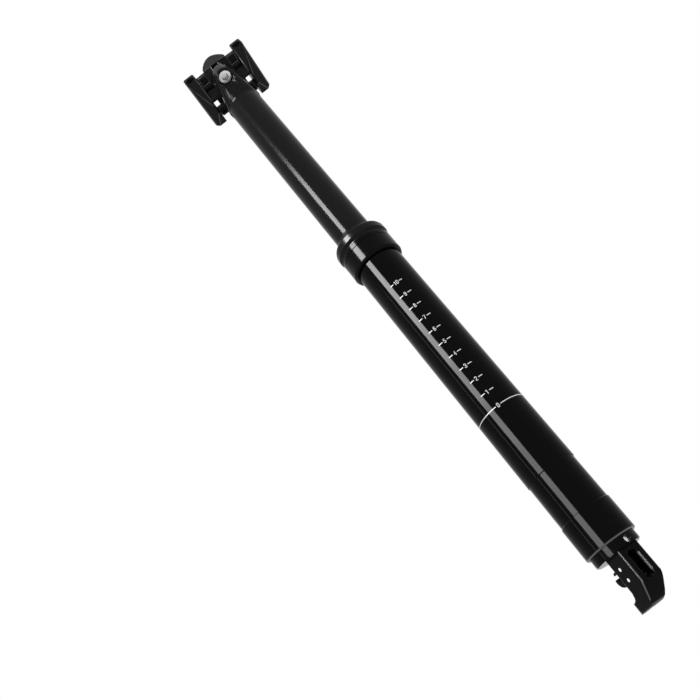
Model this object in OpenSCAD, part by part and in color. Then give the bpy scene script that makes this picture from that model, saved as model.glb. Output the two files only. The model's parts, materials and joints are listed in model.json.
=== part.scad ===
// Dropper seatpost with a two-bolt saddle clamp.
// The post axis is Z, the rear of the bicycle is -X and the rails lie 43 mm apart along Y.
// The origin is on the post axis at the minimum insertion line, which is the scale's zero.
// Everything is drawn at full extension, with the saddle rails level on a 73 degree seat tube.

/* [Lower tube] */
// Outer diameter of the lower tube, which the seat tube holds
tube_d = 30.9; // [30.4:0.1:34.9]
// Wall of the lower tube
tube_wall = 1.75; // [1.7:0.05:2]
// Height of the collar's lower edge above the minimum insertion line
above_line = 125; // [100:1:160]
// Length from the minimum insertion line down to the lower end
below_line = 91; // [80:1:120]
// Length of the band below the tube that is turned down
relief_len = 27.5; // [10:0.5:34]
// Depth of the band that is turned down
relief_depth = 0.5; // [0.2:0.1:0.5]
// Length of the end cap
end_cap_len = 20.5; // [14:0.5:26]
// Floor of the end cap
end_cap_floor = 3.5; // [2.5:0.5:5]
// Length of the tube's thread under the collar
collar_thread_len = 14; // [8:1:15]
// Depth of the turned thread bands at both ends of the tube
thread_step = 0.25; // [0.2:0.05:0.35]

/* [Collar and wiper] */
// How far the collar stands out from the lower tube
collar_over = 2.35; // [2.2:0.05:5]
// Height of the collar
collar_h = 16; // [15.5:0.5:24]
// How far the wiper's flange stands out from the collar
wiper_over = 0.7; // [0.5:0.1:1.5]
// Height of the wiper's flange
wiper_flange_h = 9.5; // [6:0.5:14]
// Thickness of the wiper's lip
wiper_lip_t = 1.5; // [1.2:0.1:2.4]
// Height of the wiper's lip above its flange
wiper_lip_h = 3.4; // [1.5:0.1:6]

/* [Upper tube] */
// Radial space between the two tubes, which the bushings fill
bush_t = 1; // [0.9:0.05:1.3]
// Wall of the upper tube
upper_wall = 1.4; // [1.3:0.05:1.6]
// Travel of the upper tube
travel = 150; // [100:5:160]
// Number of guide keys
key_count = 3; // [2:1:4]
// Length of a guide key
key_len = 12; // [8:1:14]
// How far a guide key enters each tube
key_bite = 0.6; // [0.4:0.05:0.65]
// Length of the lower bushing
lower_bush_len = 14; // [8:1:16]
// Length of the upper bushing
upper_bush_len = 19; // [10:1:20]

/* [Gas cartridge] */
// Wall of the cartridge tube
cartridge_wall = 1.2; // [1:0.1:1.5]
// Diameter of the piston rod
rod_d = 10; // [9:0.5:11]
// Diameter of the valve pin inside the rod
valve_pin_d = 3; // [2.5:0.1:3.4]
// Length of the cartridge's lower gland
gland_len = 12; // [10:1:14]
// Length of the piston
piston_len = 8; // [6:1:10]
// Length of the floating piston
float_len = 8; // [6:1:10]

/* [Saddle clamp] */
// Distance between the saddle rails
rail_spacing = 43; // [42:0.5:45]
// Diameter of a saddle rail
rail_d = 7; // [6.8:0.1:7.2]
// Forward slope of the rails against the post
rail_slope = 17; // [14:1:19]
// Height of the rail centre above the end of the upper tube
rail_rise = 28.6; // [28:0.2:30]
// Length of the clamp along the rails
clamp_len = 42; // [40:1:46]
// How far the clamp's middle lies ahead of the middle between its nuts
clamp_ahead = 1; // [0:0.5:2]
// Width of one rail channel
channel_w = 8.8; // [8.6:0.1:11]
// Gap between the cradle and the clamp at the rails
clamp_gap = 0.8; // [0.4:0.1:1.2]
// Radius of the rocker under the cradle
rocker_r = 12; // [11.6:0.1:12.2]
// Thickness of the two walls beside a barrel nut
nut_wall = 1.25; // [1:0.05:1.4]
// Width of the rocker
rocker_w = 18.6; // [16:0.2:22]
// Distance of a barrel nut from half the clamp's length
nut_inset = 7; // [6.6:0.1:7.4]
// Height of a barrel nut above the rail centre
nut_rise = 11; // [10.6:0.1:11.6]
// Diameter of a barrel nut
nut_d = 9; // [8.6:0.1:9.4]
// Length of a barrel nut
nut_len = 13; // [12:0.5:18]

/* [Clamp bolts] */
// Diameter of the bolt shank
bolt_d = 6; // [5:0.1:6]
// Diameter of the bolt head
bolt_head_d = 10; // [9:0.1:10.2]
// Height of the bolt head
bolt_head_h = 6; // [5:0.1:6.2]
// Width of the hexagon socket across its flats
bolt_hex = 5; // [4:0.1:5.2]
// Length of the rear bolt under its head
rear_bolt_len = 31; // [31:0.5:34]
// Length of the front bolt under its head
front_bolt_len = 34.5; // [34:0.5:38]
// Distance of both bolt heads from the post axis
bolt_reach = 20.8; // [20.6:0.1:21.4]
// Height of the rear bolt head above the end of the upper tube
rear_bolt_rise = 13.3; // [13:0.1:14]
// Height of the front bolt head above the end of the upper tube
front_bolt_rise = 0.8; // [0.6:0.1:1.4]
// Radius of the lug around a bolt
lug_r = 7; // [6.8:0.1:7.6]
// Length of the lug along its bolt
lug_len = 10.8; // [10.6:0.1:12.6]

/* [Actuator] */
// Angle of the actuator about the post, counted from straight ahead
actuator_turn = 33; // [0:1:360]
// How far the actuator's flange steps in from the lower tube
flange_step = 1.75; // [1:0.25:3]
// Thickness of the actuator's flange
flange_t = 5.4; // [5:0.1:6]
// Width of the actuator body across its two cheeks
body_w = 14; // [12:0.5:15]
// Distance from the post axis to the back of the body
body_back = 9.5; // [9:0.1:10.5]
// Distance from the post axis to the front of the body
body_front = 3.8; // [3.4:0.1:4.4]
// Width of the slot between the cheeks
slot_w = 5.6; // [5:0.1:6.4]
// Chamfer round the slot in the back
slot_rim = 0.7; // [0.3:0.1:0.9]
// Distance from the post axis to the housing stop
stop_reach = 8.4; // [8:0.1:9]
// Outer radius of the housing stop
stop_r = 5.5; // [5:0.1:6]
// Diameter of the cable housing that the stop takes
housing_d = 5; // [4:0.1:5.2]
// Depth of the housing stop
housing_depth = 4; // [3:0.1:4.4]
// Diameter of the inner cable's hole
cable_hole_d = 2; // [1.6:0.1:2.4]
// Diameter of the cable's barrel end
barrel_d = 4.4; // [4:0.1:4.6]
// Diameter of the lever's two cross pins
pin_d = 2; // [1.8:0.1:2.4]
// Lift of the valve pin at full pull
valve_lift = 2; // [1.6:0.1:2.2]
// Turn of the lever at full pull
lever_turn = 22; // [18:1:22]

/* [Clearances] */
// Radial clearance of sliding and turning fits
run_fit = 0.05; // [0.03:0.01:0.08]
// Gap between fixed pieces that seat on each other
seat_gap = 0.03; // [0.02:0.01:0.05]
// Gap between the cradle and its seat in the head
rocker_gap = 0.15; // [0.1:0.05:0.3]
// Clearance of a bolt shank in its barrel nut
thread_gap = 0.3; // [0.25:0.05:0.4]

/* [Hidden] */
$fn = 72;
eps = 0.01;
hull_fn = 32;

// Radii
tube_r = tube_d / 2;
tube_bore_r = tube_r - tube_wall;
upper_r = tube_bore_r - bush_t;
upper_bore_r = upper_r - upper_wall;
cartridge_r = upper_bore_r - 0.1;
cartridge_bore_r = cartridge_r - cartridge_wall;
rod_r = rod_d / 2;
rod_bore_r = valve_pin_d / 2 + 0.2;
collar_r = tube_r + collar_over;
wiper_r = collar_r + wiper_over;
collar_thread_r = tube_r - thread_step;
end_thread_r = tube_r - relief_depth - 0.4;

// Heights along the post
lower_end_z = -below_line;
cap_floor_z = lower_end_z + end_cap_floor;
cap_top_z = lower_end_z + end_cap_len;
relief_top_z = cap_top_z + relief_len;
collar_z = above_line;
tube_top_z = collar_z + collar_thread_len;
collar_top_z = collar_z + collar_h;
wiper_flange_z = collar_top_z + wiper_flange_h;
wiper_top_z = wiper_flange_z + wiper_lip_h;
drop_gap = 1.1;
head_z = wiper_top_z + travel + drop_gap;
foot_t = 4;
bottom_gap = 1.5;
upper_low_z = cap_floor_z + foot_t + bottom_gap + travel;

// Guide keys
key_r = (tube_bore_r - upper_r) / 2 + key_bite;
key_centre_r = (tube_bore_r + upper_r) / 2;
bush_low_z = upper_low_z + 2;
key_low_z = bush_low_z + lower_bush_len + 6;
key_groove_end = 4;

// Cartridge
clip_z = upper_low_z + 1.5;
clip_t = 1.5;
clip_bite = 0.6;
gland_low_z = clip_z + clip_t + seat_gap;
gland_top_z = gland_low_z + gland_len;
bumper_h = 3;
piston_z = gland_top_z + bumper_h + 2 * seat_gap;
piston_top_z = piston_z + piston_len;
plug_len = 12;
plug_top_z = head_z - 4;
cartridge_low_z = gland_low_z + seat_gap;
float_ratio = pow(rod_r / cartridge_bore_r, 2);
float_gap = 2;
float_rise = travel * float_ratio;
plug_low_z = plug_top_z - plug_len;
float_z = plug_low_z - float_gap - float_rise - float_len;
seal_r = 1;

// Saddle clamp
rail_z = head_z + rail_rise;
rail_r = rail_d / 2;
rail_y = rail_spacing / 2;
channel_in = rail_y - channel_w / 2;
channel_out = rail_y + channel_w / 2;
nut_r = nut_d / 2;
nut_bore_r = nut_r + run_fit;
bolt_r = bolt_d / 2;
nut_reach = clamp_len / 2 - nut_inset;
clamp_start = clamp_ahead - clamp_len / 2;
rocker_len = 2 * (nut_reach - bolt_r - 1.6);
rear_seat = [-bolt_reach, head_z + rear_bolt_rise];
front_seat = [bolt_reach, head_z + front_bolt_rise];
function to_post(along, up) = [along * cos(rail_slope) + up * sin(rail_slope),
    rail_z - along * sin(rail_slope) + up * cos(rail_slope)];
rear_nut_at = to_post(-nut_reach, nut_rise);
front_nut_at = to_post(nut_reach, nut_rise);
function lean(seat, nut) = atan2(nut[0] - seat[0], nut[1] - seat[1]);
rear_lean = lean(rear_seat, rear_nut_at);
front_lean = lean(front_seat, front_nut_at);
washer_ball_r = bolt_head_h + 3;
lug_bore_r = bolt_head_d / 2 + 0.5;
tilt_limit = 8;
bolt_swing = 7;

// Actuator, in its own frame: x is ahead, y is across the cheeks
flange_r = tube_r - flange_step;
flange_low_z = lower_end_z - flange_t;
foot_neck_r = 5.9;
neck_low_z = lower_end_z - 3.6;
cam_roof_z = lower_end_z - 4.6;
grub_r = 2;
grub_z = lower_end_z - 2.9;
pivot = [-1.2, lower_end_z - 12.1];
stop_drop = 6.2;
stop_pin = [pivot[0], pivot[1] - stop_drop];
slot_top_z = lower_end_z - 7.6;
slot_low_z = slot_top_z - 16;
foot_top_z = lower_end_z - 27.9;
foot_low_z = lower_end_z - 34;
cheek_low_z = foot_low_z - 0.2;
lever_t = slot_w - 0.6;
hub_r = pin_d / 2 + 2.2;
tip_r = valve_pin_d / 2;
tip_rise = 5.7;
tip_z = pivot[1] + tip_rise;
cable_x = 9.3;

// Points of an arc, for outlines
function arc(x, y, r, from, to, n = 8) =
    [for (i = [0:n]) [x + r * cos(from + (to - from) * i / n), y + r * sin(from + (to - from) * i / n)]];

// A ring round the post between two heights
module ring(r_out, r_in, low, high) {
    translate([0, 0, low])
        difference() {
            cylinder(r = r_out, h = high - low);
            translate([0, 0, -eps])
                cylinder(r = r_in, h = high - low + 2 * eps);
        }
}

// A round seal with a flattened inside or outside
module seal(r_mid, r_max, r_min, z) {
    translate([0, 0, z])
        rotate_extrude()
            intersection() {
                translate([r_mid, 0])
                    circle(r = seal_r, $fn = 24);
                translate([r_min, -seal_r])
                    square([r_max - r_min, 2 * seal_r]);
            }
}

// Places its children on the post axis, turned to the actuator's plane
module actuator_frame() {
    rotate([0, 0, actuator_turn])
        children();
}

// Draws an outline in the actuator's side view and gives it a width
module side_plate(width) {
    rotate([90, 0, 0])
        linear_extrude(height = width, center = true)
            children();
}

// Places its children in the clamp: x along the rails, z away from them
module clamp_frame() {
    translate([0, 0, rail_z])
        rotate([0, rail_slope, 0])
            children();
}

// Places its children on a bolt: the origin at the head's face, z towards the nut
module bolt_frame(seat, angle) {
    translate([seat[0], 0, seat[1]])
        rotate([0, angle, 0])
            children();
}

// A cylinder that lies across the part
module across(r, length, x = 0, z = 0) {
    translate([x, 0, z])
        rotate([90, 0, 0])
            cylinder(r = r, h = length, center = true);
}

module outer_tube() {
    groove_low = key_low_z - travel - key_groove_end;
    edge = 0.6;
    color("#17181a")
        difference() {
            rotate_extrude()
                polygon([
                    [tube_bore_r, cap_floor_z + 0.5],
                    [end_thread_r, cap_floor_z + 0.5],
                    [end_thread_r, cap_top_z - seat_gap],
                    [tube_r - relief_depth, cap_top_z + seat_gap],
                    [tube_r - relief_depth, relief_top_z - relief_depth],
                    [tube_r, relief_top_z],
                    [tube_r, collar_z],
                    [collar_thread_r, collar_z],
                    [collar_thread_r, tube_top_z - edge],
                    [collar_thread_r - edge, tube_top_z],
                    [tube_bore_r, tube_top_z]]);
            for (i = [0:key_count - 1])
                rotate([0, 0, i * 360 / key_count])
                    translate([key_centre_r, 0, groove_low])
                        cylinder(r = key_r + run_fit, h = tube_top_z - groove_low + eps);
        }
}

module seal_collar() {
    foot_r = collar_r - 1;
    shelf_r = tube_r + 0.15;
    edge = 0.9;
    seam_z = collar_top_z - 3.6;
    seam = 0.3;
    color("#1d1e20")
        rotate_extrude()
            polygon([
                [collar_thread_r + seat_gap, collar_z + seat_gap],
                [foot_r, collar_z + seat_gap],
                [collar_r - 0.1, collar_z + 1.4],
                [collar_r, collar_z + 1.8],
                [collar_r, seam_z - seam],
                [collar_r - seam, seam_z],
                [collar_r, seam_z + seam],
                [collar_r, collar_top_z - edge],
                [collar_r - edge, collar_top_z],
                [shelf_r, collar_top_z],
                [shelf_r, tube_top_z + seat_gap],
                [collar_thread_r + seat_gap, tube_top_z + seat_gap]]);
}

module wiper_seal() {
    wipe_r = upper_r + 0.03;
    spigot_r = tube_r + 0.15 - seat_gap;
    lip_r = upper_r + wiper_lip_t;
    low = collar_top_z + seat_gap;
    color("#141414")
        rotate_extrude()
            polygon(concat(
                [[wipe_r, tube_top_z + 2 * seat_gap],
                [spigot_r, tube_top_z + 2 * seat_gap],
                [spigot_r, low],
                [collar_r - 1, low],
                [collar_r - 1, low + 0.8],
                [wiper_r - 0.4, low + 2.2],
                [wiper_r, low + 2.7],
                [wiper_r, wiper_flange_z - 3.3],
                [wiper_r - 0.4, wiper_flange_z - 2.8]],
                arc(wiper_r - 2.5, wiper_flange_z - 2.7, 2.1, 0, 80, 5),
                [[lip_r + 1.2, wiper_flange_z - 0.3],
                [lip_r, wiper_flange_z + 0.3],
                [lip_r - 0.3, wiper_top_z - 0.4],
                [lip_r - 0.7, wiper_top_z],
                [wipe_r, wiper_top_z]]));
}

module upper_bushing() {
    color("#5b4a33")
        ring(tube_bore_r - seat_gap, upper_r + run_fit, tube_top_z - upper_bush_len, tube_top_z);
}

module end_cap() {
    rim = 0.8;
    color("#17181a")
        difference() {
            rotate_extrude()
                polygon([
                    [foot_neck_r + seat_gap, lower_end_z],
                    [tube_r - rim, lower_end_z],
                    [tube_r, lower_end_z + rim],
                    [tube_r, cap_top_z - 0.3],
                    [tube_r - 0.3, cap_top_z],
                    [end_thread_r + seat_gap, cap_top_z],
                    [end_thread_r + seat_gap, cap_floor_z],
                    [foot_neck_r + seat_gap, cap_floor_z]]);
        }
}

module rod_foot() {
    foot_r = cartridge_bore_r - 0.4;
    color("#b9bcc0")
        difference() {
            union() {
                translate([0, 0, cap_floor_z + seat_gap])
                    cylinder(r = foot_r, h = foot_t);
                translate([0, 0, neck_low_z + seat_gap])
                    cylinder(r = foot_neck_r, h = cap_floor_z - neck_low_z);
            }
            translate([0, 0, cap_floor_z])
                cylinder(r = rod_r + seat_gap, h = foot_t + 1);
            translate([0, 0, neck_low_z - eps])
                cylinder(r = rod_bore_r, h = cap_floor_z - neck_low_z + 1);
        }
}

module piston_rod() {
    color("#c9ccd0")
        ring(rod_r, rod_bore_r, cap_floor_z + 2 * seat_gap, piston_top_z - 3);
}

module piston() {
    color("#c4a24a")
        difference() {
            translate([0, 0, piston_z])
                cylinder(r = cartridge_bore_r - run_fit, h = piston_len);
            translate([0, 0, piston_z - eps])
                cylinder(r = rod_r + seat_gap, h = piston_len - 3 + 2 * eps);
            translate([0, 0, piston_z])
                cylinder(r = rod_bore_r, h = piston_len + 1);
            ring(cartridge_bore_r + 1, cartridge_bore_r - 1.8, piston_z + 3, piston_z + 5.2);
        }
}

module piston_seal() {
    color("#202020")
        seal(cartridge_bore_r - 0.8, cartridge_bore_r - 0.02, cartridge_bore_r - 1.78, piston_z + 4.1);
}

// Side view of the actuator body: two cheeks, a back and a foot
module bracket_outline() {
    throat_r = 3.4;
    bevel = [4.8, 9];
    bevel_top_z = cheek_low_z + 11.9;
    polygon(concat(
        [[-body_back, flange_low_z + 0.5],
        [-body_back, bevel_top_z],
        [-body_back + bevel[0], bevel_top_z - bevel[1]],
        [-body_back + bevel[0] + 1.5, cheek_low_z + 1],
        [-body_back + bevel[0] + 3.9, cheek_low_z],
        [stop_reach - 1, cheek_low_z],
        [stop_reach - 1, foot_top_z]],
        arc(body_front + throat_r, foot_top_z + throat_r, throat_r, 270, 180, 8),
        [[body_front, flange_low_z + 0.5]]));
}

// End view of the actuator body, with one lower corner well rounded off
module bracket_end_outline() {
    half = body_w / 2;
    low = cheek_low_z;
    corner = [[0, 9.7], [0.35, 8.2], [0.95, 6.7], [2.2, 3.9], [3.2, 1.8], [4.1, 0.3], [4.4, 0]];
    far_corner = [[1.6, 0], [0.5, 0.6], [0, 1.7]];
    polygon(concat(
        [[-half, flange_low_z + 1]],
        [for (c = corner) [c[0] - half, low + c[1]]],
        [for (c = far_corner) [half - c[0], low + c[1]]],
        [[half, flange_low_z + 1]]));
}

module bracket_body() {
    intersection() {
        union() {
            side_plate(body_w)
                bracket_outline();
            hull() {
                translate([stop_reach, 0, foot_low_z])
                    cylinder(r = stop_r, h = foot_top_z - foot_low_z, $fn = hull_fn);
                translate([-1, -body_w / 2, foot_low_z])
                    cube([5.4, body_w, foot_top_z - foot_low_z]);
            }
        }
        rotate([90, 0, 90])
            linear_extrude(height = 60, center = true)
                bracket_end_outline();
    }
}

// The slot that the lever works in, with round ends
module bracket_slot() {
    end_r = slot_w / 2;
    depth = 40;
    for (z = [slot_top_z - end_r, slot_low_z + end_r])
        translate([0, 0, z])
            rotate([0, 90, 0])
                cylinder(r = end_r, h = depth, center = true);
    translate([-depth / 2, -end_r, slot_low_z + end_r])
        cube([depth, slot_w, slot_top_z - slot_low_z - slot_w]);
    translate([-6.5, -end_r, slot_top_z - slot_w])
        cube([body_front + 7.5, slot_w, cam_roof_z - slot_top_z + slot_w]);
    translate([1.5, -end_r, slot_low_z - 2.6])
        cube([body_front, slot_w, 8]);
    for (z = [slot_top_z - end_r, slot_low_z + end_r])
        translate([-body_back - eps, 0, z])
            rotate([0, 90, 0])
                cylinder(r1 = end_r + slot_rim, r2 = end_r, h = slot_rim);
    translate([0, 0, slot_low_z + end_r])
        linear_extrude(height = slot_top_z - slot_low_z - slot_w)
            polygon([[-body_back - eps, -end_r - slot_rim], [-body_back + slot_rim, -end_r],
                [-body_back + slot_rim, end_r], [-body_back - eps, end_r + slot_rim]]);
}

module actuator_bracket() {
    color("#101113")
        actuator_frame()
            difference() {
                union() {
                    translate([0, 0, flange_low_z])
                        cylinder(r = flange_r - 0.6, h = 0.6);
                    translate([0, 0, flange_low_z + 0.5])
                        cylinder(r = flange_r, h = flange_t - 0.5 - seat_gap);
                    bracket_body();
                }
                bracket_slot();
                translate([0, 0, neck_low_z])
                    cylinder(r = foot_neck_r + seat_gap, h = 10);
                translate([0, 0, cam_roof_z - 1])
                    cylinder(r = tip_r + run_fit, h = 10);
                across(pin_d / 2 + seat_gap, body_w + 2, pivot[0], pivot[1]);
                across(pin_d / 2 + seat_gap, body_w + 2, stop_pin[0], stop_pin[1]);
                translate([stop_reach, 0, foot_low_z - 1])
                    cylinder(r = housing_d / 2 + run_fit, h = housing_depth + 1);
                translate([stop_reach, 0, foot_low_z - 1])
                    cylinder(r = cable_hole_d / 2, h = 12);
                grub_hole();
            }
}

// Radial hole in the flange for the grub screw that locks the bracket
module grub_hole() {
    translate([0, 0, grub_z])
        rotate([0, -90, 0])
            translate([0, 0, foot_neck_r - 0.5])
                cylinder(r = grub_r + seat_gap, h = flange_r);
}

module bracket_grub_screw() {
    start = foot_neck_r + 0.1;
    screw_len = flange_r - start - 1.7;
    color("#8f9295")
        actuator_frame()
            translate([0, 0, grub_z])
                rotate([0, -90, 0])
                    translate([0, 0, start])
                        difference() {
                            cylinder(r = grub_r, h = screw_len);
                            translate([0, 0, screw_len - 1.8])
                                cylinder(r = 1.15, h = 2, $fn = 6);
                        }
}

module cross_pin(at) {
    color("#c4c7ca")
        actuator_frame()
            across(pin_d / 2, body_w - 0.2, at[0], at[1]);
}

module lever_pivot_pin() {
    cross_pin(pivot);
}

module lever_stop_pin() {
    cross_pin(stop_pin);
}

// Centre of the valve pin's round tip, seen from the lever when it has turned by a
function tip_from_lever(a) =
    let (x = -pivot[0], y = tip_rise + valve_lift * a / lever_turn)
    [x * cos(a) - y * sin(a), x * sin(a) + y * cos(a)];

// Point of the cam that touches the tip at that turn
function cam_point(a) =
    let (c = tip_from_lever(a), d = tip_from_lever(a + 0.5) - tip_from_lever(a - 0.5), n = norm(d))
    c + (tip_r + run_fit) * [-d[1], d[0]] / n;

// Outline of the lever about its pivot: hub, cam, heel and hooked nose
module lever_outline() {
    barrel_r = barrel_d / 2;
    hook = [cable_x - pivot[0], -1.9];
    heel = asin((pin_d / 2 + 0.35) / stop_drop) + lever_turn - 90;
    heel_r = 8.2;
    difference() {
        polygon(concat(
            [[-4.2, 3.4]],
            [for (a = [lever_turn + 5:-3:-4]) cam_point(a)],
            [[2.9, 3.4], [6, 3.1], [9, 2.2], [11, 1.7], [12.7, 1.4], [13.1, 0.8], [13, -0.2]],
            [[15.1, -1.8], [15.3, -3], [14.9, -4.5], [14, -6], [12.1, -7.1], [9.5, -7.7]],
            [[heel_r * cos(heel), heel_r * sin(heel)]],
            arc(0, 0, hub_r, heel, -200, 14)));
        translate(hook)
            circle(r = barrel_r + run_fit);
        translate(hook)
            rotate(4)
                translate([0, 0.1])
                    square([8, 1.8]);
        circle(r = pin_d / 2 + run_fit);
    }
}

module release_lever() {
    cable_slot = 1.8;
    color("#1a1b1d")
        actuator_frame()
            translate([pivot[0], 0, pivot[1]])
                difference() {
                    side_plate(lever_t)
                        lever_outline();
                    translate([cable_x - pivot[0] - cable_slot, -cable_slot / 2, -12])
                        cube([12, cable_slot, 10]);
                }
}

module valve_pin() {
    top_z = piston_top_z - 2;
    color("#d0d2d4")
        union() {
            translate([0, 0, tip_z])
                cylinder(r = tip_r, h = top_z - tip_z);
            translate([0, 0, tip_z])
                sphere(r = tip_r);
        }
}

// Solid of the forged head: two lugs that flare out of the upper tube
module head_blank() {
    seat_w = rocker_w - 2;
    hull() {
        translate([0, 0, head_z - 0.4])
            cylinder(r = upper_r + 0.5, h = 3, $fn = hull_fn);
        translate([-8.5, -seat_w / 2, head_z + 5])
            cube([15.5, seat_w, rail_z - head_z - 8.6 - 5]);
        lug_blank(rear_seat, rear_lean);
        lug_blank(front_seat, front_lean);
    }
}

module lug_blank(seat, angle) {
    bolt_frame(seat, angle) {
        cylinder(r = lug_r, h = lug_len - 2.2, $fn = hull_fn);
        cylinder(r = lug_r - 0.9, h = lug_len - 0.9, $fn = hull_fn);
        cylinder(r = lug_r - 2.2, h = lug_len, $fn = hull_fn);
    }
}

// What a bolt, its head and its washer need in a lug
module bolt_way(seat, angle) {
    bolt_frame(seat, angle) {
        intersection() {
            sphere(r = washer_ball_r + run_fit);
            cylinder(r = lug_bore_r, h = 2 * washer_ball_r);
        }
        translate([0, 0, -20])
            cylinder(r = lug_bore_r, h = 20 + eps);
        translate([0, 0, bolt_head_h])
            cylinder(r1 = bolt_r + 0.4, r2 = bolt_r + 1.2, h = lug_len);
    }
}

module stanchion() {
    color("#222325")
        difference() {
            union() {
                translate([0, 0, upper_low_z])
                    cylinder(r = upper_r, h = head_z - upper_low_z);
                head_blank();
            }
            translate([0, 0, upper_low_z - 1])
                cylinder(r = upper_bore_r, h = plug_top_z - upper_low_z + 1 + seat_gap);
            clamp_frame()
                across(rocker_r + rocker_gap, 60);
            bolt_way(rear_seat, rear_lean);
            bolt_way(front_seat, front_lean);
            key_pockets(key_r + seat_gap, key_len + 2 * seat_gap, key_low_z - seat_gap);
            ring(upper_bore_r + clip_bite + seat_gap, 1, clip_z, clip_z + clip_t);
        }
}

module key_pockets(r, length, low) {
    for (i = [0:key_count - 1])
        rotate([0, 0, i * 360 / key_count])
            translate([key_centre_r, 0, low])
                cylinder(r = r, h = length);
}

module guide_keys() {
    color("#b8923c")
        key_pockets(key_r, key_len, key_low_z);
}

module lower_bushing() {
    split = 1.2;
    color("#5b4a33")
        difference() {
            ring(tube_bore_r - run_fit, upper_r + seat_gap, bush_low_z, bush_low_z + lower_bush_len);
            rotate([0, 0, 180])
                translate([upper_r - 2, -split / 2, bush_low_z - 1])
                    cube([6, split, lower_bush_len + 2]);
        }
}

module cartridge_tube() {
    color("#9a9da1")
        ring(cartridge_r, cartridge_bore_r, cartridge_low_z, plug_top_z);
}

module cartridge_gland() {
    color("#3a3c40")
        difference() {
            translate([0, 0, cartridge_low_z])
                cylinder(r = cartridge_bore_r - seat_gap, h = gland_top_z - cartridge_low_z);
            translate([0, 0, cartridge_low_z - 1])
                cylinder(r = rod_r + run_fit, h = gland_len + 2);
            ring(rod_r + 2, 1, gland_low_z + 4.9, gland_low_z + 7.1);
        }
}

module rod_seal() {
    color("#202020")
        seal(rod_r + 0.92, rod_r + 1.98, rod_r + 0.02, gland_low_z + 6);
}

module top_out_bumper() {
    color("#202020")
        ring(cartridge_bore_r - 0.3, rod_r + 0.3, gland_top_z + seat_gap, piston_z - seat_gap);
}

module cartridge_plug() {
    color("#3a3c40")
        translate([0, 0, plug_low_z])
            cylinder(r = cartridge_bore_r - seat_gap, h = plug_len);
}

module cartridge_clip() {
    clip_open = 9;
    color("#c4c7ca")
        difference() {
            ring(upper_bore_r + clip_bite, upper_bore_r - 1.5, clip_z + seat_gap, clip_z + clip_t - seat_gap);
            translate([0, -clip_open / 2, clip_z - 1])
                cube([20, clip_open, clip_t + 2]);
        }
}

module floating_piston() {
    color("#c4a24a")
        difference() {
            translate([0, 0, float_z])
                cylinder(r = cartridge_bore_r - run_fit, h = float_len);
            ring(cartridge_bore_r + 1, cartridge_bore_r - 1.8, float_z + 2.9, float_z + 5.1);
            translate([0, 0, float_z - 1])
                cylinder(r = cartridge_bore_r - 4, h = 3);
        }
}

module floating_piston_seal() {
    color("#202020")
        seal(cartridge_bore_r - 0.8, cartridge_bore_r - 0.02, cartridge_bore_r - 1.78, float_z + 4);
}

// Outline of one rail channel seen from above, with its front outer corner cut off
module channel_plan(inset) {
    corner = 2.2;
    start = clamp_start + inset;
    end = clamp_start + clamp_len - inset;
    polygon([[start, channel_in + inset], [end, channel_in + inset], [end, channel_out - inset - corner],
        [end - corner, channel_out - inset], [start, channel_out - inset]]);
}

// Rail channel of the cradle, drawn down to a short keel on its inner side
module cradle_channel() {
    keel = [8, 1.6];
    keel_low = -8;
    hull() {
        translate([0, 0, -2.6])
            linear_extrude(height = 2.6 - clamp_gap / 2)
                channel_plan(0);
        translate([0, 0, -4])
            linear_extrude(height = 1)
                channel_plan(0.6);
        translate([2.5, channel_in + 0.5, keel_low])
            cube([keel[0], keel[1], 1]);
    }
}

module lower_cradle() {
    arm_back = 5;
    arm_ahead = 4.2;
    arm_low = 1.4;
    rocker_top = -3.6;
    color("#131416")
        clamp_frame()
            difference() {
                union() {
                    intersection() {
                        across(rocker_r, rocker_w);
                        translate([-rocker_len / 2, -rocker_w, rocker_top - rocker_r])
                            cube([rocker_len, 2 * rocker_w, rocker_r]);
                    }
                    rotate([90, 0, 0])
                        linear_extrude(height = 2 * channel_in + 2, center = true)
                            polygon([[-arm_back, -1.6], [-arm_low, -7.5], [arm_low, -7.5], [arm_ahead, -1.6]]);
                    cradle_channel();
                    mirror([0, 1, 0])
                        cradle_channel();
                }
                rail_bores();
            }
}

module rail_bores() {
    for (y = [-rail_y, rail_y])
        translate([0, y, 0])
            rotate([0, 90, 0])
                cylinder(r = rail_r, h = clamp_len + 20, center = true);
}

// Low bar of a cross member, seen along the rails
module yoke_bar_outline() {
    half = channel_in + 0.6;
    low = clamp_gap / 2;
    sole = channel_in - 0.5;
    sole_low = -2;
    shoulder = 2;
    polygon([[-sole, sole_low], [-sole, low], [-half, low], [-half, shoulder - 0.7], [-8, shoulder],
        [8, shoulder], [half, shoulder - 0.7], [half, low], [sole, low], [sole, sole_low]]);
}

// Bell of a cross member, which rises beside the nut
module yoke_bell_outline() {
    spread = 9.8;
    crown = nut_rise + 1.3;
    low = -2;
    steps = 7;
    polygon(concat(
        [[-spread, low]],
        [for (i = [-steps:steps]) [spread * i / steps, crown * pow(max(0, cos(90 * i / steps)), 0.8)]],
        [[spread, low]]));
}

// One cross member of the clamp, with its two walls and the trough for the nut
module yoke(side) {
    reach = nut_bore_r + nut_wall;
    setback = 2.2;
    translate([side > 0 ? nut_reach - reach : setback - nut_reach - reach, 0, 0])
        rotate([90, 0, 90])
            linear_extrude(height = 2 * reach - setback)
                yoke_bar_outline();
    translate([side * nut_reach - reach, 0, 0])
        rotate([90, 0, 90])
            linear_extrude(height = 2 * reach)
                yoke_bell_outline();
}

// Trough that a barrel nut lies in, open at the top
module nut_trough(side) {
    across(nut_bore_r, 60, side * nut_reach, nut_rise);
    translate([side * nut_reach - nut_bore_r, -30, nut_rise])
        cube([2 * nut_bore_r, 60, 20]);
}

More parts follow.
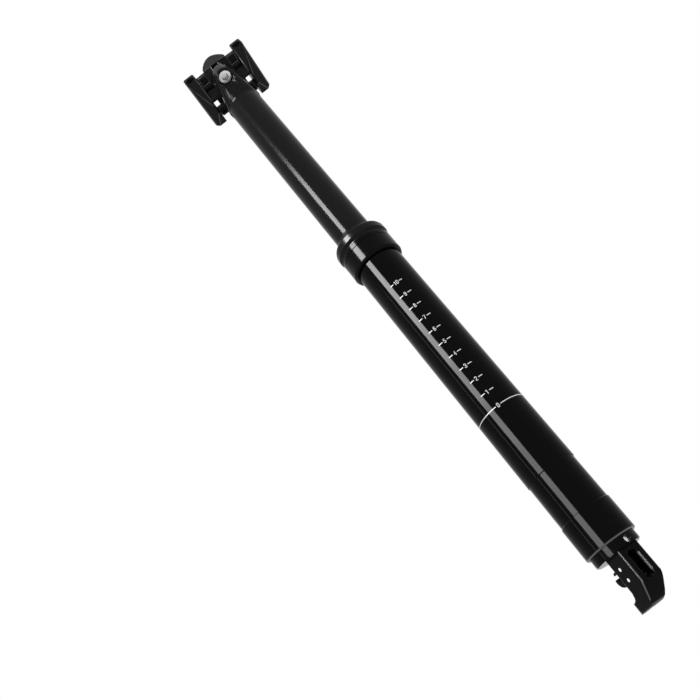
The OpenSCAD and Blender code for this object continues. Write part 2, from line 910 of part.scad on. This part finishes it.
// Room for a bolt as the clamp tilts about its rocker
module bolt_slot(side, angle) {
    reach = 16;
    waist = bolt_r + 0.3;
    swing = waist + reach * tan(bolt_swing);
    tip = 10;
    half_w = bolt_r + 0.5;
    translate([side * nut_reach, 0, nut_rise])
        rotate([0, angle, 0])
            rotate([90, 0, 0])
                linear_extrude(height = 2 * half_w, center = true)
                    polygon([[-waist, 0], [-swing, -reach], [swing, -reach], [waist, 0],
                        [waist + tip * tan(bolt_swing), tip], [-waist - tip * tan(bolt_swing), tip]]);
}

module clamp_bar() {
    cut = 1.4;
    low = clamp_gap / 2;
    high = 6.3;
    half = channel_w / 2;
    intersection() {
        translate([clamp_start, rail_y, 0])
            rotate([90, 0, 90])
                linear_extrude(height = clamp_len)
                    polygon([[-half, low], [-half, high - cut], [cut - half, high],
                        [half - cut, high], [half, high - cut], [half, low]]);
        linear_extrude(height = 2 * high)
            channel_plan(0);
    }
}

// Pockets in the underside of a cross member, which save weight
module yoke_pockets(side) {
    for (y = [-16, 10.5])
        translate([side * (nut_reach - 0.5) - 2.9, y, -3])
            cube([5.8, 5.5, 3.2]);
}

// Openings between the front cross member and the rail channels
module clamp_windows() {
    width = 3.6;
    for (y = [-channel_in, channel_in - width])
        translate([nut_reach - 9.1, y, -5])
            cube([5.1, width, 30]);
}

module upper_clamp() {
    web_back = nut_reach - 5.5;
    web_ahead = nut_reach - 4;
    low = clamp_gap / 2;
    color("#131416")
        clamp_frame()
            difference() {
                union() {
                    clamp_bar();
                    mirror([0, 1, 0])
                        clamp_bar();
                    yoke(1);
                    yoke(-1);
                    translate([-web_back, -channel_in - 0.6, low])
                        cube([web_back + web_ahead, 2 * channel_in + 1.2, 3.2]);
                }
                rail_bores();
                nut_trough(-1);
                nut_trough(1);
                bolt_slot(-1, rear_lean - rail_slope);
                bolt_slot(1, front_lean - rail_slope);
                yoke_pockets(-1);
                yoke_pockets(1);
                clamp_windows();
            }
}

// Socket head bolt: the face of its head at the origin, the shank along z
module bolt(length) {
    edge = 0.5;
    color("#c9ccce")
        difference() {
            rotate_extrude()
                polygon([
                    [0, 0],
                    [bolt_head_d / 2 - edge, 0],
                    [bolt_head_d / 2, edge],
                    [bolt_head_d / 2, bolt_head_h],
                    [bolt_r, bolt_head_h],
                    [bolt_r, bolt_head_h + length - edge],
                    [bolt_r - edge, bolt_head_h + length],
                    [0, bolt_head_h + length]]);
            translate([0, 0, -eps])
                cylinder(r = bolt_hex / 2 / cos(30), h = bolt_head_h / 2 + eps, $fn = 6);
        }
}

// Round-backed washer that lets a bolt swing in its lug
module ball_washer() {
    color("#8f9295")
        difference() {
            intersection() {
                sphere(r = washer_ball_r);
                translate([0, 0, bolt_head_h + seat_gap])
                    cylinder(r = bolt_head_d / 2 + 0.1, h = 10);
            }
            cylinder(r = bolt_r + 0.1, h = 30);
        }
}

module rear_bolt() {
    bolt_frame(rear_seat, rear_lean)
        bolt(rear_bolt_len);
}

module rear_washer() {
    bolt_frame(rear_seat, rear_lean)
        ball_washer();
}

module front_bolt() {
    bolt_frame(front_seat, front_lean)
        bolt(front_bolt_len);
}

module front_washer() {
    bolt_frame(front_seat, front_lean)
        ball_washer();
}

module barrel_nut(at, angle) {
    color("#b4b7ba")
        translate([at[0], 0, at[1]])
            rotate([0, angle, 0])
                difference() {
                    across(nut_r, nut_len);
                    cylinder(r = bolt_r + thread_gap, h = 20, center = true);
                }
}

module rear_barrel_nut() {
    barrel_nut(rear_nut_at, rear_lean);
}

module front_barrel_nut() {
    barrel_nut(front_nut_at, front_lean);
}

outer_tube();
seal_collar();
wiper_seal();
upper_bushing();
end_cap();
rod_foot();
piston_rod();
piston();
piston_seal();
actuator_bracket();
bracket_grub_screw();
lever_pivot_pin();
lever_stop_pin();
release_lever();
valve_pin();
stanchion();
guide_keys();
lower_bushing();
cartridge_tube();
cartridge_gland();
rod_seal();
top_out_bumper();
cartridge_plug();
cartridge_clip();
floating_piston();
floating_piston_seal();
lower_cradle();
upper_clamp();
rear_bolt();
rear_washer();
front_bolt();
front_washer();
rear_barrel_nut();
front_barrel_nut();
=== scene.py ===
import json
import math

import bmesh
import bpy
from mathutils import Matrix, Vector


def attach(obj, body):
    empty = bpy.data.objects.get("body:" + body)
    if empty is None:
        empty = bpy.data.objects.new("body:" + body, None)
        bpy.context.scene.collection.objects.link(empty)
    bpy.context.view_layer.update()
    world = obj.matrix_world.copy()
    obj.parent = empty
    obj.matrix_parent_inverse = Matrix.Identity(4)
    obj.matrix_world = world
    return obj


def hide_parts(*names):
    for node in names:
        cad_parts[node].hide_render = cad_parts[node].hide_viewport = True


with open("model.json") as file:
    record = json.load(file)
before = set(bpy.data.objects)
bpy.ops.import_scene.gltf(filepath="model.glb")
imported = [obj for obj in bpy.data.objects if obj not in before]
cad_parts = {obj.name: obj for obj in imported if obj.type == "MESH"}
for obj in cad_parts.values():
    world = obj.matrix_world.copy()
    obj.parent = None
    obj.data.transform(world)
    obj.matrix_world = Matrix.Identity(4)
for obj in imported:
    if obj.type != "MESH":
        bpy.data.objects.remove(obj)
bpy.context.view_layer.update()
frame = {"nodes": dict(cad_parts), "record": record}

nodes = frame["nodes"]
behaviour = frame["record"]["behaviour"]

# Sizes that the looks share with the part, in metres
TUBE_R = 0.01545
STANCHION_R = 0.0127
# Height of the flat step where the stanchion meets its head
HEAD_FOOT_Z = 0.3046
# Hexagon socket of the bolts, out to its corners
SOCKET_R, SOCKET_DEEP = 0.0031, 0.0030


# Materials: every value is set on the shader's own sockets

def material(name, colour, metallic, roughness, specular=0.5):
    m = bpy.data.materials.new(name)
    m.use_nodes = True
    shader = m.node_tree.nodes["Principled BSDF"]
    shader.inputs["Base Color"].default_value = (*colour, 1)
    shader.inputs["Metallic"].default_value = metallic
    shader.inputs["Roughness"].default_value = roughness
    shader.inputs["Specular IOR Level"].default_value = specular
    return m


GLOSS_BLACK = material("gloss_black", (0.0015, 0.0015, 0.0016), 0.0, 0.07, specular=0.05)
SATIN_BLACK = material("satin_black", (0.0018, 0.0018, 0.002), 0.0, 0.12, specular=0.06)
STANCHION_BLACK = material("stanchion_black", (0.012, 0.012, 0.0125), 0.0, 0.13, specular=0.055)
FORGED_BLACK = material("forged_black", (0.017, 0.017, 0.0175), 0.0, 0.25, specular=0.035)
BRACKET_BLACK = material("bracket_black", (0.0025, 0.0025, 0.0027), 0.0, 0.12, specular=0.045)
RUBBER = material("rubber_black", (0.005, 0.005, 0.005), 0.0, 0.2, specular=0.1)
# Painted highlight: the paler colour given to chamfers and rounded edges
EDGE_PAINTED_HIGHLIGHT = material("edge_painted_highlight", (0.11, 0.11, 0.112), 0.0, 0.3, specular=0.2)
SEAL = material("seal_rubber", (0.01, 0.01, 0.01), 0.0, 0.5)
BRONZE = material("bushing_bronze", (0.32, 0.22, 0.12), 0.9, 0.5)
BRASS = material("key_brass", (0.62, 0.45, 0.2), 1.0, 0.3)
CHROME = material("polished_rod", (0.75, 0.76, 0.78), 1.0, 0.08)
ALUMINIUM = material("plain_aluminium", (0.6, 0.61, 0.63), 1.0, 0.35)
# Painted shade: the dark steel given to the walls of the bolts' sockets
SOCKET_PAINTED_SHADE = material("socket_painted_shade", (0.06, 0.06, 0.062), 1.0, 0.35)
STEEL = material("bolt_steel", (0.9, 0.905, 0.91), 1.0, 0.2)
DARK_STEEL = material("dark_steel", (0.05, 0.05, 0.052), 1.0, 0.3)
PRINT_WHITE = material("print_white", (0.86, 0.86, 0.86), 0.0, 0.45)

BY_NODE = {
    # Lower tube and what is fixed in it
    "outer_tube": GLOSS_BLACK, "end_cap": GLOSS_BLACK, "seal_collar": SATIN_BLACK,
    "wiper_seal": RUBBER, "upper_bushing": BRONZE, "rod_foot": ALUMINIUM,
    # Stanchion and what slides with it
    "stanchion": STANCHION_BLACK, "lower_bushing": BRONZE, "guide_keys": BRASS,
    # Gas cartridge
    "cartridge_tube": ALUMINIUM, "cartridge_gland": ALUMINIUM, "cartridge_plug": ALUMINIUM,
    "cartridge_clip": STEEL, "rod_seal": SEAL, "top_out_bumper": SEAL,
    "piston_rod": CHROME, "piston": ALUMINIUM, "piston_seal": SEAL,
    "floating_piston": ALUMINIUM, "floating_piston_seal": SEAL, "valve_pin": STEEL,
    # Lever actuator
    "actuator_bracket": BRACKET_BLACK, "release_lever": BRACKET_BLACK,
    "bracket_grub_screw": STEEL, "lever_pivot_pin": STEEL, "lever_stop_pin": STEEL,
    # Saddle clamp
    "lower_cradle": FORGED_BLACK, "upper_clamp": FORGED_BLACK,
    "rear_bolt": STEEL, "front_bolt": STEEL,
    "rear_washer": DARK_STEEL, "front_washer": DARK_STEEL,
    "rear_barrel_nut": STEEL, "front_barrel_nut": STEEL,
}
for name, m in BY_NODE.items():
    data = nodes[name].data
    data.materials.clear()
    data.materials.append(m)
    for p in data.polygons:
        p.material_index = 0

# Slot of the second material, on the pieces that have one
SECOND_SLOT = 1


# Painted shade: the walls of the bolts' sockets get a dark steel colour that stands in for the
# shade inside the socket, and their floors stay bright

SOCKET_SLACK = 1e-4
# A wall's normal is further than this from the bolt's axis, as a cosine
WALL_COSINE = 0.5


def seat_and_axis(name):
    """The face of a bolt's head, at its swing joint, and the direction of its shank."""
    joint = [j for j in behaviour["joints"] if j["child"] == name][0]
    seat = Vector(joint["pos_m"])
    vertices = nodes[name].data.vertices
    along = sum((v.co for v in vertices), Vector()) / len(vertices) - seat
    along.y = 0
    return seat, along.normalized()


for name in ("rear_bolt", "front_bolt"):
    seat, along = seat_and_axis(name)
    data = nodes[name].data
    data.materials.append(SOCKET_PAINTED_SHADE)
    for p in data.polygons:
        reach = Vector(p.center) - seat
        deep = reach.dot(along)
        off_axis = (reach - along * deep).length
        in_socket = -SOCKET_SLACK < deep < SOCKET_DEEP + SOCKET_SLACK and off_axis < SOCKET_R
        if in_socket and abs(p.normal.dot(along)) < WALL_COSINE:
            p.material_index = SECOND_SLOT


# Painted highlight: the chamfer round the foot of the end cap's sleeve is given a paler colour
# that stands in for a glint along it

CHAMFER_NORMAL_Z = (-0.9, -0.4)
CHAMFER_LEAST_R = 0.0146

cap = nodes["end_cap"].data
cap.materials.append(EDGE_PAINTED_HIGHLIGHT)
for p in cap.polygons:
    tilted = CHAMFER_NORMAL_Z[0] < p.normal.z < CHAMFER_NORMAL_Z[1]
    if tilted and math.hypot(p.center.x, p.center.y) > CHAMFER_LEAST_R:
        p.material_index = SECOND_SLOT


# Forged and milled pieces show their sharp edges rounded, which catches the light, and the
# rounded faces also get a paler colour as a painted highlight

SAME_POINT = 1e-7
# Faces that meet at less than this are one face
FLAT_ANGLE = math.radians(0.6)
# Faces that meet at less than this shade as one
SMOOTH_ANGLE = math.radians(35)

# How the flat step at the head's foot becomes a short cone: its outer ring goes up, its inner
# ring down. The ring goes no lower, so that it stays above the wiper with the post fully down
FOOT_MATCH = 2e-5
FOOT_RING_SLACK = 2e-4
FOOT_UP, FOOT_DOWN = 0.0008, 0.0006


def add_object(name, data):
    o = bpy.data.objects.new(name, data)
    bpy.context.scene.collection.objects.link(o)
    return o


def body_of(name):
    return [body for body, names in behaviour["bodies"].items() if name in names][0]


def cone_at_foot(bm):
    for v in bm.verts:
        if abs(v.co.z - HEAD_FOOT_Z) < FOOT_MATCH:
            outer = math.hypot(v.co.x, v.co.y) > STANCHION_R + FOOT_RING_SLACK
            v.co.z += FOOT_UP if outer else -FOOT_DOWN


def folds(degrees, least):
    """Test of an edge: convex, at least so sharp, and longer than so much."""
    return lambda e: (e.is_convex and e.calc_face_angle() > math.radians(degrees)
                      and e.calc_length() > least)


def eased(name, test=None, offset=0.0, segments=0, reshape=None):
    """A copy that shows in a node's place, with the edges that pass the test rounded."""
    bm = bmesh.new()
    bm.from_mesh(nodes[name].data)
    bmesh.ops.remove_doubles(bm, verts=bm.verts, dist=SAME_POINT)
    if reshape:
        reshape(bm)
    if test:
        bmesh.ops.dissolve_limit(bm, angle_limit=FLAT_ANGLE, verts=bm.verts, edges=bm.edges)
        bm.normal_update()
        sharp = [e for e in bm.edges if len(e.link_faces) == 2 and test(e)]
        # The new bevel faces take the second slot, the paler edge colour: a painted highlight
        bmesh.ops.bevel(bm, geom=sharp, offset=offset, segments=segments, profile=0.5,
                        affect="EDGES", clamp_overlap=False, material=SECOND_SLOT)
    mesh = bpy.data.meshes.new(name + "_eased")
    bm.to_mesh(mesh)
    bm.free()
    mesh.materials.append(BY_NODE[name])
    mesh.materials.append(EDGE_PAINTED_HIGHLIGHT)
    for p in mesh.polygons:
        p.use_smooth = True
    mesh.set_sharp_from_angle(angle=SMOOTH_ANGLE)
    o = add_object(name + "_eased", mesh)
    weigh = o.modifiers.new("flat_faces_first", "WEIGHTED_NORMAL")
    weigh.keep_sharp = True
    body = body_of(name)
    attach(o, body)
    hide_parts(name)


eased("actuator_bracket", folds(40, 0.006), offset=0.0006, segments=4)
eased("upper_clamp", folds(35, 0.004), offset=0.0003, segments=3)
eased("lower_cradle", folds(12, 0.012), offset=0.0003, segments=3)
eased("stanchion", reshape=cone_at_foot)


# The printed scale: strokes laid on the lower tube, digits upright with the head up

# Half the thickness of the print, which lies half in the tube's skin
INK = 0.00006
# Longest piece of a stroke, so that it follows the tube
STROKE_STEP = 0.0006

SCALE_STEP, SCALE_TOP = 0.010, 10
DIGIT_HIGH, DIGIT_STROKE = 0.0024, 0.00042
# Width of a digit and the gap after it, as shares of its height
DIGIT_WIDE, DIGIT_GAP = 0.42, 0.24
# Inner ends of the dashes beside one digit and beside two, and their outer ends
DASH_IN, DASH_IN_TWO, DASH_OUT = 0.0019, 0.0024, 0.0040
DASH_STROKE = 0.00055
LINE_STROKE, LINE_HALF_ANGLE = 0.0005, math.radians(80)


def on_tube(across, height, radius):
    """A point of the print: across to the right as seen from behind, height along the post."""
    angle = across / radius
    return Vector((-radius * math.cos(angle), -radius * math.sin(angle), height))


def dense_points(stroke):
    """The points of a stroke with more between them."""
    dense = []
    for (x0, y0), (x1, y1) in zip(stroke, stroke[1:]):
        steps = max(1, int(abs(x1 - x0) / STROKE_STEP))
        dense += [(x0 + (x1 - x0) * i / steps, y0 + (y1 - y0) * i / steps)
                  for i in range(steps)]
    return dense + [stroke[-1]]


def ribbon(name, strokes, width):
    """Flat strokes on the lower tube, each a list of (across, height), as one closed mesh."""
    verts, faces = [], []
    for stroke in strokes:
        dense = dense_points(stroke)
        first, end_at = len(verts), len(dense) - 1
        for i, p in enumerate(dense):
            before = Vector(dense[max(i - 1, 0)])
            after = Vector(dense[min(i + 1, end_at)])
            along = (after - before).normalized()
            side = Vector((-along[1], along[0])) * width / 2
            # Both ends of a stroke reach on by half its width
            end = along * (width / 2 if i == end_at else -width / 2 if i == 0 else 0)
            for s in (-1, 1):
                q = Vector(p) + side * s + end
                for lift in (-INK, INK):
                    verts.append(on_tube(q[0], q[1], TUBE_R + lift))
        # Each point has four corners: under and over on one side, then on the other
        for i in range(end_at):
            a, b = first + 4 * i, first + 4 * i + 4
            faces += [(a + 1, a + 3, b + 3, b + 1), (a + 2, a, b, b + 2),
                      (a, a + 1, b + 1, b), (a + 3, a + 2, b + 2, b + 3)]
        last = first + 4 * end_at
        faces += [(first, first + 2, first + 3, first + 1), (last, last + 1, last + 3, last + 2)]
    mesh = bpy.data.meshes.new(name)
    mesh.from_pydata([tuple(v) for v in verts], [], faces)
    mesh.materials.append(PRINT_WHITE)
    mesh.update()
    o = add_object(name, mesh)
    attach(o, "lower")


# Strokes of the digits in a box 1 wide and 2 high
DIGITS = {
    "0": [[(0.25, 0), (0.75, 0), (1, 0.35), (1, 1.65), (0.75, 2), (0.25, 2), (0, 1.65),
           (0, 0.35), (0.25, 0)]],
    "1": [[(0.2, 1.6), (0.6, 2), (0.6, 0)]],
    "2": [[(0, 1.65), (0.25, 2), (0.75, 2), (1, 1.65), (1, 1.3), (0, 0), (1, 0)]],
    "3": [[(0, 1.7), (0.25, 2), (0.75, 2), (1, 1.7), (1, 1.3), (0.7, 1.05), (0.4, 1.05)],
          [(0.7, 1.05), (1, 0.75), (1, 0.3), (0.75, 0), (0.25, 0), (0, 0.3)]],
    "4": [[(0.75, 0), (0.75, 2), (0, 0.6), (1, 0.6)]],
    "5": [[(0.95, 2), (0.1, 2), (0.05, 1.1), (0.7, 1.2), (1, 0.9), (1, 0.35), (0.7, 0),
           (0.25, 0), (0, 0.3)]],
    "6": [[(0.95, 1.75), (0.7, 2), (0.3, 2), (0, 1.6), (0, 0.35), (0.25, 0), (0.75, 0),
           (1, 0.35), (1, 0.8), (0.75, 1.1), (0.25, 1.1), (0, 0.85)]],
    "7": [[(0, 2), (1, 2), (0.4, 0)]],
    "8": [[(0.3, 1.08), (0.05, 1.35), (0.05, 1.7), (0.3, 2), (0.7, 2), (0.95, 1.7),
           (0.95, 1.35), (0.7, 1.08), (0.3, 1.08), (0, 0.75), (0, 0.3), (0.25, 0), (0.75, 0),
           (1, 0.3), (1, 0.75), (0.7, 1.08)]],
    "9": [[(0.05, 0.25), (0.3, 0), (0.7, 0), (1, 0.4), (1, 1.65), (0.75, 2), (0.25, 2),
           (0, 1.65), (0, 1.2), (0.25, 0.9), (0.75, 0.9), (1, 1.15)]],
}


def number(text, centre, height):
    """Strokes of a number in metres, centred on a height of the post."""
    wide, gap = height * DIGIT_WIDE, height * DIGIT_GAP
    total = len(text) * wide + (len(text) - 1) * gap
    out = []
    for k, digit in enumerate(text):
        left = -total / 2 + k * (wide + gap)
        out += [[(left + x * wide, centre + (y - 1) * height / 2) for x, y in stroke]
                for stroke in DIGITS[digit]]
    return out


digits, dashes = [], []
for k in range(SCALE_TOP + 1):
    z = k * SCALE_STEP
    inner = DASH_IN if k < 10 else DASH_IN_TWO
    digits += number(str(k), z, DIGIT_HIGH)
    if k:
        dashes += [[(inner, z), (DASH_OUT, z)], [(-inner, z), (-DASH_OUT, z)]]
ribbon("scale_digits", digits, DIGIT_STROKE)
ribbon("scale_dashes", dashes, DASH_STROKE)

# The insertion line: an arc over the rear half of the tube, open at its zero
line_end = TUBE_R * LINE_HALF_ANGLE
ribbon("insertion_line", [[(DASH_IN, 0), (line_end, 0)], [(-DASH_IN, 0), (-line_end, 0)]],
       LINE_STROKE)


# Stage: a pale floor well below the post, and a world that is white wherever it is seen

FLOOR_Z, FLOOR_HALF = -0.3, 1.2
WORLD_DIM = 0.6

floor_white = material("floor_white", (0.82, 0.82, 0.82), 0.0, 0.7, specular=0.0)
floor_mesh = bpy.data.meshes.new("floor")
floor_corners = [(x * FLOOR_HALF, y * FLOOR_HALF, FLOOR_Z)
                 for x, y in ((-1, -1), (1, -1), (1, 1), (-1, 1))]
floor_mesh.from_pydata(floor_corners, [], [(0, 1, 2, 3)])
floor_mesh.materials.append(floor_white)
floor = add_object("floor", floor_mesh)


def rays(tree, names):
    """A socket that is 1 for rays of any of these kinds."""
    path = tree.nodes.new("ShaderNodeLightPath")
    seen = path.outputs[names[0]]
    for name in names[1:]:
        either = tree.nodes.new("ShaderNodeMath")
        either.operation = "MAXIMUM"
        tree.links.new(seen, either.inputs[0])
        tree.links.new(path.outputs[name], either.inputs[1])
        seen = either.outputs[0]
    return seen


def show_white(tree, names, shader, out, white):
    """These rays see the white shader, and all others the plain one."""
    mix = tree.nodes.new("ShaderNodeMixShader")
    tree.links.new(rays(tree, names), mix.inputs[0])
    tree.links.new(shader.outputs[0], mix.inputs[1])
    tree.links.new(white.outputs[0], mix.inputs[2])
    tree.links.new(mix.outputs[0], out.inputs["Surface"])


def background(tree, strength):
    shader = tree.nodes.new("ShaderNodeBackground")
    shader.inputs["Color"].default_value = (1, 1, 1, 1)
    shader.inputs["Strength"].default_value = strength
    return shader


floor_tree = floor_white.node_tree
show_white(floor_tree, ["Is Glossy Ray", "Is Transmission Ray"],
           floor_tree.nodes["Principled BSDF"], floor_tree.nodes["Material Output"],
           floor_tree.nodes.new("ShaderNodeEmission"))

world = bpy.data.worlds.new("studio")
bpy.context.scene.world = world
world.use_nodes = True
world_tree = world.node_tree
world_tree.nodes.clear()
show_white(world_tree, ["Is Camera Ray", "Is Glossy Ray", "Is Transmission Ray"],
           background(world_tree, WORLD_DIM), world_tree.nodes.new("ShaderNodeOutputWorld"),
           background(world_tree, 1.0))


# Camera: placed and turned as fitted to the photograph

RIGHT = Vector((0.30028454, -0.79143667, -0.53240698))
DOWN = Vector((0.35504038, 0.61079958, -0.70772184))
BACK = Vector((-0.88531098, -0.02349194, -0.46440565))
CAMERA_AT = (-0.446998, 0.035180, -0.143613)
FOCAL_PIXELS, IMAGE_PIXELS = 819, 700
SENSOR = 36

camera_data = bpy.data.cameras.new("camera")
camera_data.sensor_width = SENSOR
camera_data.lens = SENSOR * FOCAL_PIXELS / IMAGE_PIXELS
camera_data.clip_start, camera_data.clip_end = 0.01, 20
camera = add_object("camera", camera_data)
turn = Matrix((RIGHT, -DOWN, BACK)).transposed().to_4x4()
camera.matrix_world = Matrix.Translation(CAMERA_AT) @ turn
bpy.context.scene.camera = camera


# Lights: two soft lamps, and cards that only reflections see, as a product studio sets them

CARD_DISTANCE = 1.17
# The left card is brightest where the collar shows it: height of a point, its radiance
CARD_GLOW = [(-0.58, 30), (0.08, 30), (0.30, 34), (0.60, 68), (0.74, 84), (0.99, 80), (1.18, 58)]
CARD_FOOT, CARD_TOP = CARD_GLOW[0][0], CARD_GLOW[-1][0]
CARD_STRIPS, CARD_AZIMUTH, CARD_WIDE = 16, 35.5, 0.5


def area(name, at, target, size_x, size_y, radiance, lights=True, seen=True):
    """A soft box. One that lights nothing is a card, and one not seen has no reflection."""
    data = bpy.data.lights.new(name, "AREA")
    data.shape = "RECTANGLE"
    data.size, data.size_y = size_x, size_y
    data.energy = radiance * math.pi * size_x * size_y
    o = add_object(name, data)
    back = (Vector(at) - Vector(target)).normalized()
    x = Vector((0, 0, 1)).cross(back).normalized()
    y = back.cross(x)
    o.matrix_world = Matrix.Translation(at) @ Matrix((x, y, back)).transposed().to_4x4()
    o.visible_diffuse, o.visible_glossy = lights, seen
    o.visible_camera = False


def card(name, azimuth, height, size_x, size_y, radiance):
    """A card beside the post: azimuth 0 is behind it, and it grows towards the left."""
    a = math.radians(azimuth)
    at = (-CARD_DISTANCE * math.cos(a), CARD_DISTANCE * math.sin(a), height)
    area(name, at, (0, 0, height), size_x, size_y, radiance, lights=False)


def card_glow(height):
    """Radiance of the left card at a height up to its top, on straight lines between points."""
    for (z0, g0), (z1, g1) in zip(CARD_GLOW, CARD_GLOW[1:]):
        if height <= z1:
            return g0 + (g1 - g0) * (height - z0) / (z1 - z0)


area("overhead", at=(0.45, -0.1, 1.35), target=(0, 0, 0.1), size_x=0.9, size_y=0.9,
     radiance=1.5, seen=False)
area("camera_side", at=(-1.3, -0.3, 0.3), target=(0, 0, 0), size_x=0.8, size_y=0.8,
     radiance=1.2, seen=False)
strip = (CARD_TOP - CARD_FOOT) / CARD_STRIPS
for k in range(CARD_STRIPS):
    z = CARD_FOOT + (k + 0.5) * strip
    card("card_left_%02d" % k, CARD_AZIMUTH, z, CARD_WIDE, strip, card_glow(z))
card("card_thin", azimuth=66, height=0.1, size_x=0.05, size_y=1.3, radiance=8)

bpy.context.scene.view_settings.view_transform = "Standard"
